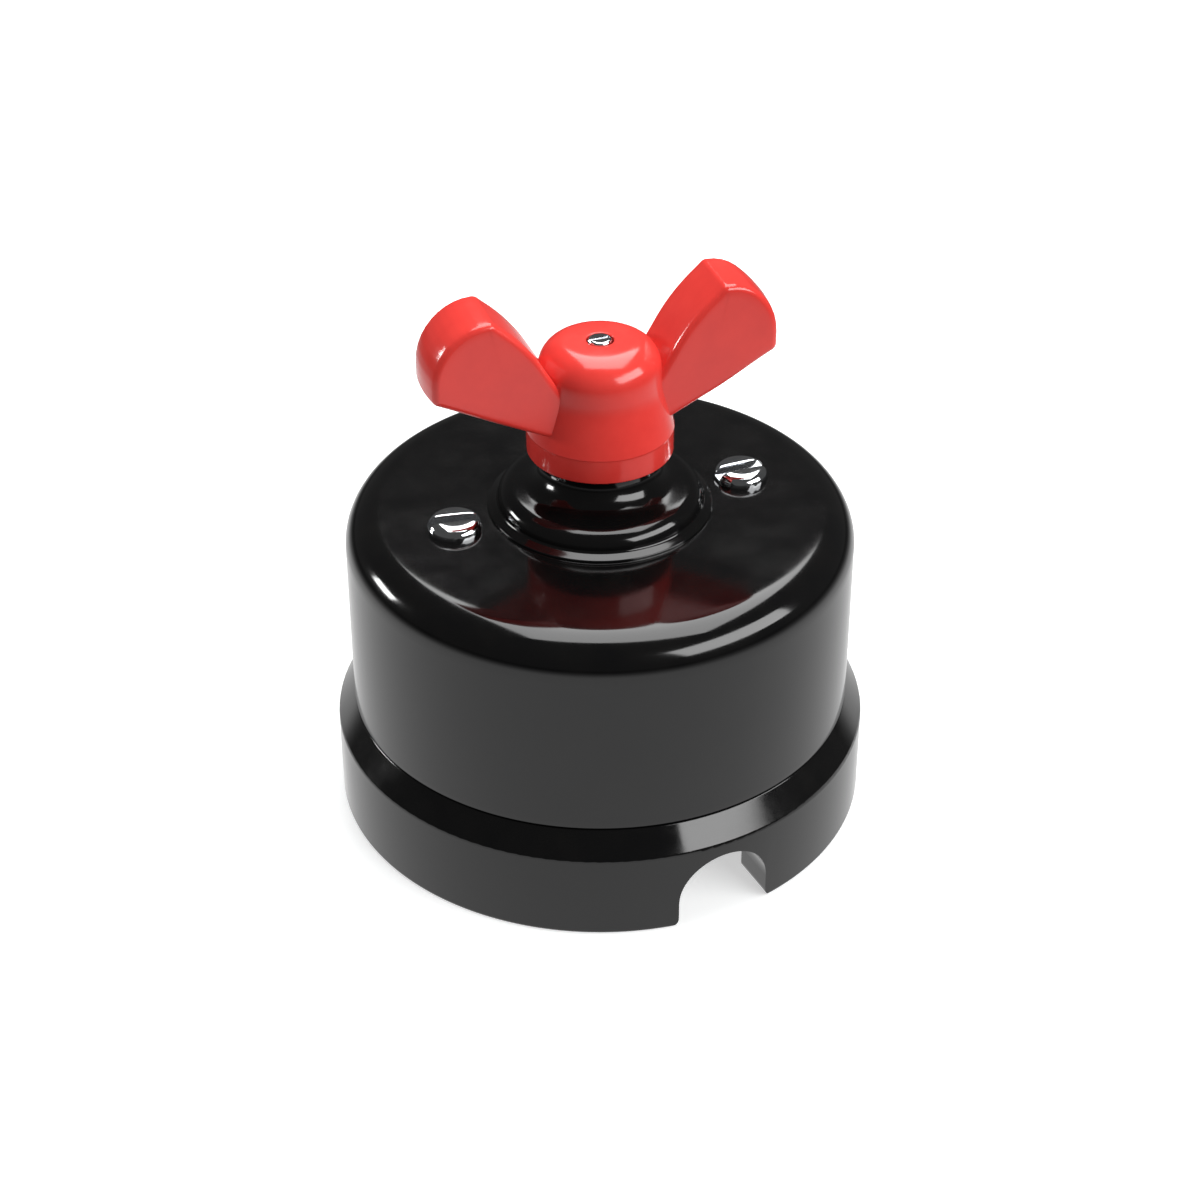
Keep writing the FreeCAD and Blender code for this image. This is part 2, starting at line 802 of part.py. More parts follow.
nodes = {
    "base": base(),
    "cover": cover(),
    "cover_screws": cover_screws(),
    "cover_pillars": cover_pillars(),
    "pillar_screws": pillar_screws(),
    "foot_bearing": foot_bearing(),
    "top_bearing": top_bearing(),
    "yoke": yoke(),
    "yoke_screws": yoke_screws(),
    "yoke_nuts": yoke_nuts(),
    "line_contact": turn(fixed_contact(), 90),
    "load_contact": turn(fixed_contact(), -90),
    "contact_screws": contact_screws(),
    "terminal_screws": terminal_screws(),
    "click_spring_left": click_spring(1),
    "click_spring_right": click_spring(-1),
    "spindle": spindle(),
    "rotor": rotor(),
    "contact_bridge": contact_bridge(),
    "bridge_rivets": bridge_rivets(),
    "click_cam": click_cam(),
    "cam_pin": cam_pin(),
    "thrust_washer": thrust_washer(),
    "retaining_ring": retaining_ring(),
    "knob": knob(),
    "knob_insert": knob_insert(),
    "knob_screw": knob_screw(),
}

for name, shape in nodes.items():
    shape.exportStep(os.path.join("parts", name + ".step"))
    print(name, "solids", len(shape.Solids), "valid", shape.isValid())
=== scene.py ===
# %% [markdown]
# # A black porcelain rotary switch with a red butterfly knob
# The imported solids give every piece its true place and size. This lesson gives them their
# finish: two glazes, chrome, brass and zinc, under the soft boxes of a small studio. The
# three pieces that the picture shows best, the cover, its screws and the knob, are made
# once more as finer surfaces. Their outlines are drawn in millimetres, and MM turns them
# into metres, which is Blender's unit.

# %% Load the fixed pieces
import bmesh
import bpy
import json
import math
import numpy as np
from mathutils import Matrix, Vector


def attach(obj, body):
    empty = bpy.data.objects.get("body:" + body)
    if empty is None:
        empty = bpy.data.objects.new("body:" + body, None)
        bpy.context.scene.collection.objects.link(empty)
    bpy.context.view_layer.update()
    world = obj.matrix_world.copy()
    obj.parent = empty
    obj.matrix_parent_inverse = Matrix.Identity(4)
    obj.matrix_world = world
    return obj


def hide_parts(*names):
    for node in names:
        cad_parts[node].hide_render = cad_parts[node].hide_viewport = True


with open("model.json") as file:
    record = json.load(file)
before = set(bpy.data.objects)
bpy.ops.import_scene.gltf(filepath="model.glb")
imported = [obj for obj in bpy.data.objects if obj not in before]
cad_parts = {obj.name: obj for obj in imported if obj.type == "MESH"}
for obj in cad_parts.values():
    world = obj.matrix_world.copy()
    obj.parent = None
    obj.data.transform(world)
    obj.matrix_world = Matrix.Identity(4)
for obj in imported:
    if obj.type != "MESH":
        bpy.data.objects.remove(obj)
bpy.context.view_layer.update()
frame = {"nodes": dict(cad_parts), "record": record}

nodes = frame["nodes"]
MM = 0.001

# %% [markdown]
# ## Building a node graph
# A material in Blender is a graph of nodes. A socket is either linked to another node or
# holds a plain value, and `feed` does whichever is asked for. With that, one call adds a
# node, sets its properties and feeds its inputs.

# %% Node helpers


def feed(tree, socket, value):
    """Links a socket to another node's output, or sets it to a plain value."""
    if isinstance(value, bpy.types.NodeSocket):
        tree.links.new(value, socket)
    else:
        socket.default_value = value


def set_inputs(tree, node, *in_order, **by_name):
    """Feeds a node's inputs, in order or by name, where an underscore stands for a space."""
    for socket, value in zip(node.inputs, in_order):
        feed(tree, socket, value)
    for name, value in by_name.items():
        feed(tree, node.inputs[name.replace("_", " ")], value)
    return node


def add(tree, kind, settings=None, *in_order, **by_name):
    """Adds one node, sets its properties and feeds its inputs."""
    node = tree.nodes.new(kind)
    for key, value in (settings or {}).items():
        setattr(node, key, value)
    return set_inputs(tree, node, *in_order, **by_name)


def new_material(name):
    """Starts a node material and returns it with its tree and its Principled BSDF."""
    material = bpy.data.materials.new(name)
    material.use_nodes = True
    tree = material.node_tree
    return material, tree, tree.nodes["Principled BSDF"]


def new_group(name, amounts, outputs):
    """Starts a node group: a Place and some amounts go in, and plain numbers come out."""
    group = bpy.data.node_groups.new(name, "ShaderNodeTree")
    group.interface.new_socket(name="Place", in_out="INPUT", socket_type="NodeSocketVector")
    for label, default in amounts.items():
        socket = group.interface.new_socket(
            name=label, in_out="INPUT", socket_type="NodeSocketFloat")
        socket.default_value = default
    for label in outputs:
        group.interface.new_socket(name=label, in_out="OUTPUT", socket_type="NodeSocketFloat")
    return group, group.nodes.new("NodeGroupInput"), group.nodes.new("NodeGroupOutput")


print("node helpers ready")

# %% [markdown]
# ## The words of a pattern
# Every finish here is said in the same few words: where a point is on its object, a noise
# drawn there, a little arithmetic, a stretch of its range, a ramp of colours, and a bump.

# %% Pattern helpers


def object_place(tree):
    """The Object coordinates that every pattern here is drawn on."""
    return tree.nodes.new("ShaderNodeTexCoord").outputs["Object"]


def noise(tree, place, scale, detail, roughness=0.5):
    """A soft random pattern between 0 and 1, with about `scale` cells to the metre."""
    node = add(
        tree, "ShaderNodeTexNoise", Vector=place, Scale=scale, Detail=detail,
        Roughness=roughness)
    return node.outputs["Fac"]


def calculate(tree, operation, *values):
    """One step of arithmetic: MULTIPLY gives a b, and MULTIPLY_ADD gives a b + c."""
    return add(tree, "ShaderNodeMath", {"operation": operation}, *values).outputs[0]


def map_range(tree, value, source=(0.0, 1.0), target=(0.0, 1.0)):
    """Stretches the source range to the target range and holds the value inside it."""
    node = add(
        tree, "ShaderNodeMapRange", Value=value, From_Min=source[0], From_Max=source[1],
        To_Min=target[0], To_Max=target[1])
    return node.outputs[0]


def colour_ramp(tree, factor, *stops):
    """A colour that passes through the (position, colour) stops as the factor grows."""
    ramp = add(tree, "ShaderNodeValToRGB", Fac=factor)
    elements = ramp.color_ramp.elements
    for element, (position, colour) in zip(elements, (stops[0], stops[-1])):
        element.position, element.color = position, (*colour, 1)
    for position, colour in stops[1:-1]:
        elements.new(position).color = (*colour, 1)
    return ramp.outputs["Color"]


def relief(tree, height, strength, distance):
    """Tilts the normal as if the surface rose by the distance where the height is 1."""
    node = add(tree, "ShaderNodeBump", Height=height, Strength=strength, Distance=distance)
    return node.outputs["Normal"]


print("pattern helpers ready")

# %% [markdown]
# ## The glaze's skin
# Fired glaze is a thin layer of glass that has run a little, so its surface is never
# quite flat: wide, shallow waves bend a reflection, and a fine orange peel softens it.
# Both could be sculpted, but they are far finer than the mesh, so a bump height made of
# two noises is the right tool. One group serves both the black and the red glaze.

# %% Glaze group


def make_glaze_group():
    """Height = wide waves + fine orange peel; Roughness = the given one, spread by a slow
    noise; Cloud is that slow noise, for the colour."""
    group, given, result = new_group(
        "fired_glaze", {"Waves": 1.0, "Peel": 0.2, "Roughness": 0.06},
        ["Height", "Roughness", "Cloud"])
    place = given.outputs["Place"]
    waves = noise(group, place, scale=70.0, detail=1.0, roughness=0.4)
    peel = noise(group, place, scale=520.0, detail=2.0, roughness=0.5)
    cloud = noise(group, place, scale=160.0, detail=4.0, roughness=0.6)
    wide = calculate(group, "MULTIPLY", waves, given.outputs["Waves"])
    height = calculate(group, "MULTIPLY_ADD", peel, given.outputs["Peel"], wide)
    spread = map_range(group, cloud, source=(0.3, 0.75), target=(0.7, 1.5))
    rough = calculate(group, "MULTIPLY", spread, given.outputs["Roughness"])
    set_inputs(group, result, Height=height, Roughness=rough, Cloud=cloud)
    return group


fired_glaze = make_glaze_group()
print("group:", fired_glaze.name)

# %% [markdown]
# ## Black glaze
# The cover and the base are glazed a deep black. What the eye sees is hardly the black
# itself but the room in it: a glossy layer over a nearly black body does that, with
# the colour clouding very slightly between cold and warm.

# %% Black glaze


def glaze(name, dark, light, waves, peel, roughness, bump):
    """A glaze whose colour drifts between two shades and whose skin is the glaze group."""
    material, tree, shader = new_material(name)
    skin = add(
        tree, "ShaderNodeGroup", {"node_tree": fired_glaze}, Place=object_place(tree),
        Waves=waves, Peel=peel, Roughness=roughness)
    set_inputs(
        tree, shader, Roughness=skin.outputs["Roughness"],
        Base_Color=colour_ramp(tree, skin.outputs["Cloud"], (0.35, dark), (0.7, light)),
        Normal=relief(tree, skin.outputs["Height"], strength=1.0, distance=bump))
    return material


black_glaze = glaze(
    "black_glaze", dark=(0.0026, 0.0026, 0.0028), light=(0.0040, 0.0038, 0.0037),
    waves=0.25, peel=0.015, roughness=0.10, bump=0.00003,
)
print("material:", black_glaze.name)

# %% [markdown]
# ## Red glaze
# The knob has the same glassy skin over a bright signal red, a little warm in the shade.
# Its gloss is softer, so the lamps spread a little wider on it.

# %% Red glaze
red_glaze = glaze(
    "red_glaze", dark=(0.69, 0.043, 0.035), light=(0.75, 0.050, 0.040),
    waves=0.25, peel=0.01, roughness=0.15, bump=0.00003,
)
print("material:", red_glaze.name)

# %% [markdown]
# ## Metals
# Turned and pressed metal carries fine lines. A noise squeezed along one direction gives
# those lines, and a coarser noise makes the polish uneven. The group returns a roughness
# and a height, and each metal sets its own colour and strength.

# %% Metal group and metals


def make_metal_group():
    """Lines = a noise squeezed along Z, which is also the Height; Patches = a slow noise;
    Roughness = the given one + strength of the lines (lines + patches)."""
    group, given, result = new_group(
        "worked_metal", {"Roughness": 0.2, "Lines": 0.1}, ["Height", "Roughness", "Patches"])
    place, strength = given.outputs["Place"], given.outputs["Lines"]
    squeezed = add(group, "ShaderNodeMapping", Vector=place, Scale=(1.0, 1.0, 14.0)).outputs[0]
    lines = noise(group, squeezed, scale=900.0, detail=3.0, roughness=0.6)
    patches = noise(group, place, scale=260.0, detail=3.0, roughness=0.6)
    lined = calculate(group, "MULTIPLY_ADD", lines, strength, given.outputs["Roughness"])
    patched = calculate(group, "MULTIPLY_ADD", patches, strength, lined)
    set_inputs(group, result, Height=lines, Roughness=patched, Patches=patches)
    return group


worked_metal = make_metal_group()


def metal(name, dark, light, roughness, lines, bump):
    """A metal whose tone varies in patches, with fine worked lines in its skin."""
    material, tree, shader = new_material(name)
    skin = add(
        tree, "ShaderNodeGroup", {"node_tree": worked_metal}, Place=object_place(tree),
        Roughness=roughness, Lines=lines)
    set_inputs(
        tree, shader, Metallic=1.0, Roughness=skin.outputs["Roughness"],
        Base_Color=colour_ramp(tree, skin.outputs["Patches"], (0.3, dark), (0.7, light)),
        Normal=relief(tree, skin.outputs["Height"], strength=0.5, distance=bump))
    return material


# Slot: name, dark and light tone, roughness, strength of the lines, height of the lines.
METALS = {
    "chromed_screw": (
        "bright_chrome", (0.62, 0.63, 0.65), (0.74, 0.75, 0.76), 0.05, 0.03, 0.000002),
    "brass": ("turned_brass", (0.60, 0.42, 0.16), (0.78, 0.58, 0.26), 0.22, 0.12, 0.000008),
    "bronze_strip": (
        "rolled_bronze", (0.58, 0.33, 0.18), (0.74, 0.46, 0.28), 0.24, 0.12, 0.000008),
    "zinc_steel": ("zinc_plate", (0.50, 0.52, 0.55), (0.66, 0.68, 0.70), 0.28, 0.14, 0.000008),
    "spring_steel": (
        "blue_spring_steel", (0.20, 0.22, 0.26), (0.34, 0.36, 0.40), 0.26, 0.12, 0.000006),
    "spindle_steel": (
        "drawn_steel", (0.42, 0.43, 0.45), (0.58, 0.59, 0.60), 0.24, 0.14, 0.000008),
}
finishes = {slot: metal(*values) for slot, values in METALS.items()}
print("metals:", sorted(finishes))

# %% [markdown]
# ## Moulded phenolic
# The rotor inside is pressed from brown phenolic resin filled with wood flour. The
# flour shows as faint speckles, and the mould leaves a half-gloss skin.

# %% Phenolic


def phenolic():
    """Brown resin: speckles are a fine noise cut by a ramp, over a half-gloss skin."""
    material, tree, shader = new_material("brown_phenolic")
    flour = noise(tree, object_place(tree), scale=2400.0, detail=3.0, roughness=0.7)
    resin, speckle = (0.045, 0.018, 0.009), (0.12, 0.055, 0.028)
    set_inputs(
        tree, shader, Base_Color=colour_ramp(tree, flour, (0.42, resin), (0.68, speckle)),
        Roughness=map_range(tree, flour, target=(0.25, 0.5)),
        Normal=relief(tree, flour, strength=0.4, distance=0.00001))
    return material


finishes["brown_phenolic"] = phenolic()
print("material:", finishes["brown_phenolic"].name)

# %% [markdown]
# ## Dressing the solids
# The record names a slot for every solid. The slot picks the finish, and it takes the
# place of the plain material that the solid came with.

# %% Give every solid its finish
finishes["black_porcelain"] = black_glaze
finishes["red_glaze"] = red_glaze
for part in frame["record"]["subparts"]:
    mesh = nodes[part["node"]].data
    mesh.materials.clear()
    mesh.materials.append(finishes[part["material_slot"]])

# %% [markdown]
# ## Rounded outlines
# Most of this switch was turned on a wheel or a lathe, so it starts as an outline: a list
# of corners, each with the radius of its own arc where it is rounded. The long sides
# between the arcs are divided, so that the faces stay small.

# %% Outline helpers

ARC_STEPS = 10


def arc_corner(before, corner, after, radius):
    """Corner C with sides a and b (unit) becomes an arc of radius r about
    O = C + (a + b) / |a + b| * r / sin(h), from C + a r / tan(h) to C + b r / tan(h),
    where 2h is the angle between the sides."""
    a = (before - corner) / np.linalg.norm(before - corner)
    b = (after - corner) / np.linalg.norm(after - corner)
    h = np.arccos(np.clip(a @ b, -1, 1)) / 2
    centre = corner + (a + b) / np.linalg.norm(a + b) * radius / np.sin(h)
    first = corner + a * radius / np.tan(h) - centre
    last = corner + b * radius / np.tan(h) - centre
    sweep = np.pi - 2 * h
    share = np.linspace(0, 1, ARC_STEPS + 1)[:, None]
    spokes = np.sin((1 - share) * sweep) * first + np.sin(share * sweep) * last
    return centre + spokes / np.sin(sweep)


def rounded_outline(corners, spacing):
    """A closed outline of (r, z) or (r, z, arc) corners, its sides divided by the spacing."""
    flat = np.array([corner[:2] for corner in corners], float)
    pieces = []
    for k, corner in enumerate(corners):
        if len(corner) == 3:
            pieces.append(arc_corner(flat[k - 1], flat[k], flat[(k + 1) % len(flat)], corner[2]))
        else:
            pieces.append(flat[k][None])
    points = np.vstack(pieces)
    sides = np.roll(points, -1, axis=0) - points
    counts = np.maximum(1, np.ceil(np.linalg.norm(sides, axis=1) / spacing)).astype(int)
    start = np.repeat(np.arange(len(points)), counts)
    part = np.arange(counts.sum()) - np.repeat(np.cumsum(counts) - counts, counts)
    return points[start] + sides[start] * (part / counts[start])[:, None]


print("outline helpers ready")

# %% [markdown]
# ## From a grid to a mesh
# A surface here is a grid of points, two parameters wide, and its faces are the grid's
# cells. The winding of the faces is set by the sign of the volume they enclose. Points
# that share a place, as on the axis, are merged, and only steep edges stay sharp.

# %% Grid and mesh helpers

MERGE_DISTANCE = 1e-7
CREASE = 40
UNION_CREASE = 35


def grid_faces(rows, columns, wrap_rows=False):
    """Quads (i, j), (i+1, j), (i+1, j+1), (i, j+1) of a grid stored row by row. Every row
    is closed; the last row joins the first one where the rows wrap."""
    steps = rows if wrap_rows else rows - 1
    i, j = np.meshgrid(np.arange(steps), np.arange(columns), indexing="ij")
    i2, j2 = (i + 1) % rows, (j + 1) % columns
    quads = [i * columns + j, i2 * columns + j, i2 * columns + j2, i * columns + j2]
    return np.stack(quads, -1).reshape(-1, 4)


def turned_grid(outline, sides):
    """P(u, t) = (r(u) cos t, r(u) sin t, z(u)): an outline (r, z) swept round the Z axis."""
    t = np.linspace(0, 2 * np.pi, sides, endpoint=False)
    r, z = outline.T
    height = np.broadcast_to(z, (sides, len(r)))
    points = np.stack([np.outer(np.cos(t), r), np.outer(np.sin(t), r), height], -1)
    return points.reshape(-1, 3), grid_faces(sides, len(r), wrap_rows=True)


def outward(points, faces):
    """Six times the volume is the sum of a . (b x c); where it is negative the faces turn over."""
    a, b, c, d = (points[faces[:, k]] for k in range(4))
    volume = (a * np.cross(b, c)).sum() + (a * np.cross(c, d)).sum()
    return faces if volume > 0 else faces[:, ::-1]


def put_in_scene(name, data):
    """A new object for a mesh, a light or a camera, linked to the scene."""
    thing = bpy.data.objects.new(name, data)
    bpy.context.scene.collection.objects.link(thing)
    return thing


def mesh_piece(name, parts, material):
    """One object from several closed grids in millimetres, with coincident points merged."""
    lengths = np.cumsum([0] + [len(points) for points, faces in parts])
    points = np.vstack([points for points, faces in parts]) * MM
    faces = np.vstack([outward(p, f) + shift for (p, f), shift in zip(parts, lengths)])
    mesh = bpy.data.meshes.new(name)
    mesh.from_pydata(points.tolist(), [], faces.tolist())
    work = bmesh.new()
    work.from_mesh(mesh)
    bmesh.ops.remove_doubles(work, verts=work.verts, dist=MERGE_DISTANCE)
    work.to_mesh(mesh)
    work.free()
    mesh.shade_smooth()
    mesh.set_sharp_from_angle(angle=math.radians(CREASE))
    mesh.materials.append(material)
    return put_in_scene(name, mesh)


print("mesh helpers ready")

# %% [markdown]
# ## The cover
# The drum's outline climbs from the shoulder, goes over the rim, crosses the flat top and
# climbs the boss: a low ring, a soft bead and a neck that sweeps up under the knob. It
# comes back down the bore and along the inside, because a cover is a hollow shell.

# %% Cover

COVER_TOP = 43.6
SHOULDER = 15.4
EDGE_GAP = 0.1
WALL_OUTSIDE, WALL_INSIDE = 33.7, 30.0
BORE, RECESS = 4.0, 5.6
RECESS_TOP, ROOF = 43.9, 39.4
COVER_SIDES = 320


def cover_grid():
    """The drum's outline (r, z) swept round the Z axis, outside first and then the inside."""
    edge, top = SHOULDER + EDGE_GAP, COVER_TOP
    outline = rounded_outline([
        (WALL_INSIDE, edge),
        (WALL_OUTSIDE, edge, 0.35),     # lower edge of the wall
        (WALL_OUTSIDE, top, 4.8),       # wide round rim
        (14.8, top, 0.1),               # low ring round the boss
        (14.8, top + 0.4, 0.2),
        (13.6, top + 0.93, 0.5),        # foot of the bead
        (13.4, top + 3.1, 2.3),         # round of the bead
        (7.0, top + 3.75, 3.4),         # sweep from the bead into the neck
        (7.05, top + 7.8, 0.6),         # upper edge of the neck
        (BORE, top + 7.8),
        (BORE, RECESS_TOP),             # bore, and the wider recess below it
        (RECESS, RECESS_TOP),
        (RECESS, ROOF),
        (WALL_INSIDE, ROOF, 2.4),       # hollow corner between roof and wall
    ], spacing=0.7)
    return turned_grid(outline, COVER_SIDES)


cover_skin = mesh_piece("cover_skin", [cover_grid()], black_glaze)
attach(cover_skin, "housing")
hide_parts("cover")
print("cover:", len(cover_skin.data.vertices), "points")

# %% [markdown]
# ## Slotted screw heads
# A slotted head is a low dome with a straight groove. If the rows of the grid run along
# the groove, its walls fall exactly on rows: two rows share one place and differ in
# height. The rows are chords of the disc, and every column is a share of the chord.

# %% Slotted head

RIM_ROWS = 30
CHORD_POINTS = 49
EDGE_SOFTNESS = 0.12


def head_grid(radius, edge, dome, slot, depth):
    """x = s sqrt(R^2 - t^2), y = t, z = edge + dome (1 - (r / R)^8), or the groove's floor.
    The rim and the groove's lips are lowered a little, which softens their edges."""
    half, soft = slot / 2, EDGE_SOFTNESS
    angles = np.linspace(np.arcsin((half + soft) / radius), np.pi / 2, RIM_ROWS)
    rim = radius * np.sin(angles)
    across = np.concatenate([-rim[::-1], [-half, -half, half, half], rim])
    floor_rows = [RIM_ROWS + 1, RIM_ROWS + 2]
    lip_rows = [RIM_ROWS, RIM_ROWS + 3]
    share = np.sin(np.linspace(-np.pi / 2, np.pi / 2, CHORD_POINTS))
    inner = np.sqrt(np.maximum((radius - soft) ** 2 - across ** 2, 0))
    outer = np.sqrt(np.maximum(radius ** 2 - across ** 2, 0))
    x = np.column_stack([-outer, -outer, np.outer(inner, share), outer, outer])
    y = np.broadcast_to(across[:, None], x.shape)
    z = edge + dome * (1 - ((x ** 2 + y ** 2) / radius ** 2) ** 4)
    z[lip_rows] -= soft / 2
    z[floor_rows] = np.minimum(z[floor_rows], edge + dome - depth)
    z[:, [1, -2]] -= soft
    z[:, [0, -1]] = 0
    return np.stack([x, y, z], -1).reshape(-1, 3), grid_faces(*x.shape)


screw_head = head_grid(radius=3.6, edge=0.7, dome=0.95, slot=1.6, depth=1.2)
print("head:", len(screw_head[0]), "points")

# %% [markdown]
# ## The cover's two screws
# Each screw is a head and a plain stem, and it stands on the drum's flat top. Nobody
# stops two screws at the same angle, so their grooves point a little differently.

# %% Cover screws

SCREW_REACH = 19.9
SHANK_SIDES = 40


def placed(grid, turn, reach, height):
    """Turns a grid about Z by an angle and moves it out along X and up along Z."""
    points, faces = grid
    c, s = math.cos(math.radians(turn)), math.sin(math.radians(turn))
    x, y, z = points.T
    return np.stack([x * c - y * s + reach, x * s + y * c, z + height], -1), faces


def shank_grid(radius, length, overlap=0.05):
    """The plain stem under a head, its outline closed on the axis."""
    outline = rounded_outline([
        (0, overlap), (radius, overlap), (radius, -length, 0.25), (0, -length),
    ], spacing=3.0)
    return turned_grid(outline, SHANK_SIDES)


def cover_screw(turn, reach):
    """Head and stem of one cover screw, standing on the drum's flat top."""
    stem = shank_grid(radius=2.0, length=15.0)
    return [placed(grid, turn, reach, COVER_TOP) for grid in (screw_head, stem)]


screw_heads = mesh_piece(
    "cover_screw_pair",
    cover_screw(turn=3, reach=SCREW_REACH) + cover_screw(turn=-8, reach=-SCREW_REACH),
    finishes["chromed_screw"])
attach(screw_heads, "housing")
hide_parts("cover_screws")
print("screws:", len(screw_heads.data.vertices), "points")

# %% [markdown]
# ## The knob's hub
# The hub is turned like the cover: a straight collar, a bell with a hollow flank, and a
# nearly flat crown with the recess for the small screw.

# %% Hub

KNOB_FOOT = 52.2
HUB_SIDES = 192


def hub_grid():
    """The bell's outline (r, z) swept round the Z axis, outside first and then the hollow."""
    foot = KNOB_FOOT
    outline = rounded_outline([
        (8.0, foot),
        (9.6, foot, 0.3),               # collar
        (9.6, foot + 3.3, 0.08),        # fine step between the collar and the bell
        (9.65, foot + 3.5, 0.08),
        (8.2, foot + 9.4, 11.0),        # hollow flank
        (7.75, foot + 15.55, 3.8),      # round shoulder
        (1.75, foot + 15.75, 0.2),      # low crown, down into the screw's recess
        (1.75, foot + 14.85),
        (1.25, foot + 14.85),           # hole for the screw
        (1.25, foot + 12.4),
        (4.5, foot + 12.4),             # pocket for the brass insert
        (4.5, foot + 2.6),
        (8.0, foot + 2.6),              # wide hollow over the cover's neck
    ], spacing=0.8)
    return turned_grid(outline, HUB_SIDES)


print("hub:", len(hub_grid()[0]), "points")

# %% [markdown]
# ## The knob's wings
# A wing is a paddle: a rounded outline seen from the side, given a thickness. Near each
# flat side the outline shrinks along a quarter circle, which rounds the edge, and towards
# the tip both sides draw back, so the end bulges.

# %% Wings

WING_ROOT, WING_TIP = 5.0, 23.6
WING_THICKNESS = 8.8
WING_EDGE = 0.8
WING_BULGE = 0.5
BULGE_START, BULGE_LENGTH = 14.0, 9.6
FLAT_SHARES = (0.0, 0.35, 0.7, 0.9)
EDGE_ROWS = 7
WALL_ROWS = 5


def smooth_step(value):
    """3 v^2 - 2 v^3 with v held between 0 and 1."""
    v = np.clip(value, 0, 1)
    return v * v * (3 - 2 * v)


def wing_outline():
    """The paddle from the side as (x, z, arc): along the lower edge to the tip, round the
    tip, and back over the peak and the hollow back. Both roots lie inside the hub."""
    foot = KNOB_FOOT
    heel, peak = foot + 12.6, foot + 22.7
    rise = 0.49 * (WING_TIP - WING_ROOT)
    return rounded_outline([
        (WING_ROOT, heel - rise, 1.2),
        (WING_TIP, heel, 1.0),          # lower corner of the tip
        (WING_TIP, peak, 7.8),          # round of the tip
        (15.3, peak, 1.2),              # peak
        (10.8, foot + 18.7, 24.0),      # hollow back
        (WING_ROOT, foot + 8.7, 1.2),
    ], spacing=0.6)


def wing_grid(side, shorter):
    """Row (y, e, k): the outline moved inwards by e and shrunk to the share k of itself.
    On the round edge y = w/2 - r (1 - cos q) and e = r (1 - sin q); on the flat faces k
    falls to 0; and x loses s + b (2y / w)^2, more and more towards the tip."""
    line = wing_outline()
    along = np.roll(line, -1, axis=0) - np.roll(line, 1, axis=0)
    normal = np.stack([along[:, 1], -along[:, 0]], -1) / np.linalg.norm(along, axis=1)[:, None]
    middle = line.mean(axis=0)
    half, edge = WING_THICKNESS / 2, WING_EDGE
    rows = [(half, edge, k) for k in FLAT_SHARES]
    for q in np.linspace(0, np.pi / 2, EDGE_ROWS):
        rows.append((half - edge * (1 - np.cos(q)), edge * (1 - np.sin(q)), 1.0))
    rows += [(y, 0.0, 1.0) for y in np.linspace(half - edge, 0, WALL_ROWS)[1:]]
    rows += [(-y, e, k) for y, e, k in rows[-2::-1]]
    y, e, k = (np.array(column)[:, None] for column in zip(*rows))
    flat = line[None] - normal[None] * e[..., None]
    flat = middle + (flat - middle) * k[..., None]
    loss = shorter + WING_BULGE * (2 * y / WING_THICKNESS) ** 2
    x = flat[..., 0] - loss * smooth_step((flat[..., 0] - BULGE_START) / BULGE_LENGTH)
    points = np.stack([side * x, side * np.broadcast_to(y, x.shape), flat[..., 1]], -1)
    return points.reshape(-1, 3), grid_faces(*x.shape)


print("wing:", len(wing_grid(1, 0.0)[0]), "points")

# %% [markdown]
# ## One piece of porcelain
# The knob was cast in one piece, so the hub and the two wings become a single skin: their
# exact boolean union. One wing came out of its mould a little shorter than the other.

# %% Knob


def united(name, parts, material):
    """A single skin round several closed meshes: their exact boolean union."""
    pieces = [mesh_piece(name, [part], material) for part in parts]
    for other in pieces[1:]:
        step = pieces[0].modifiers.new("join", "BOOLEAN")
        step.operation, step.solver, step.object = "UNION", "EXACT", other
    whole = pieces[0].evaluated_get(bpy.context.evaluated_depsgraph_get())
    mesh = bpy.data.meshes.new_from_object(whole)
    for piece in pieces:
        bpy.data.objects.remove(piece)
    mesh.set_sharp_from_angle(angle=math.radians(UNION_CREASE))
    return put_in_scene(name, mesh)


wings = [wing_grid(side=1, shorter=0.6), wing_grid(side=-1, shorter=0.0)]
knob_skin = united("knob_skin", [hub_grid(), *wings], red_glaze)
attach(knob_skin, "rotor_group")
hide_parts("knob")
print("knob:", len(knob_skin.data.vertices), "points")

# %% [markdown]
# ## The paper
# The switch stands on white paper that fills the picture. The paper shines evenly for the
# camera, but what the glaze sees of it is a painted pool of light that fades outwards.

# %% Floor

FLOOR_HALF = 3.0
PAPER_SHINE = 0.54
PAINTED_POOL_REACH = 0.5


def white_paper():
    """Camera rays see shining paper; all others see a painted pool of light that fades outwards.
    """
    material, tree, shader = new_material("white_paper")
    place = object_place(tree)
    grain = noise(tree, place, scale=900.0, detail=2.0)
    set_inputs(
        tree, shader, Roughness=0.9,
        Base_Color=colour_ramp(tree, grain, (0.0, (0.69, 0.70, 0.70)), (1.0, (0.72, 0.73, 0.73))),
        Emission_Color=(1.0, 1.0, 1.0, 1.0), Emission_Strength=PAPER_SHINE)
    # Painted light: the emission that the glaze sees is brightest under the switch and fades
    # outwards.
    radius = add(tree, "ShaderNodeVectorMath", {"operation": "LENGTH"}, place)
    share = map_range(tree, radius.outputs["Value"], source=(0.0, PAINTED_POOL_REACH))
    levels = ((0.24, 1.0), (0.38, 0.36), (0.6, 0.10), (1.0, 0.04))
    painted_pool = colour_ramp(tree, share, *((position, (level,) * 3) for position, level in levels))
    lit = add(tree, "ShaderNodeEmission", Color=painted_pool)
    path = tree.nodes.new("ShaderNodeLightPath")
    choice = add(
        tree, "ShaderNodeMixShader", {}, path.outputs["Is Camera Ray"], lit.outputs[0],
        shader.outputs[0])
    set_inputs(tree, tree.nodes["Material Output"], Surface=choice.outputs[0])
    return material


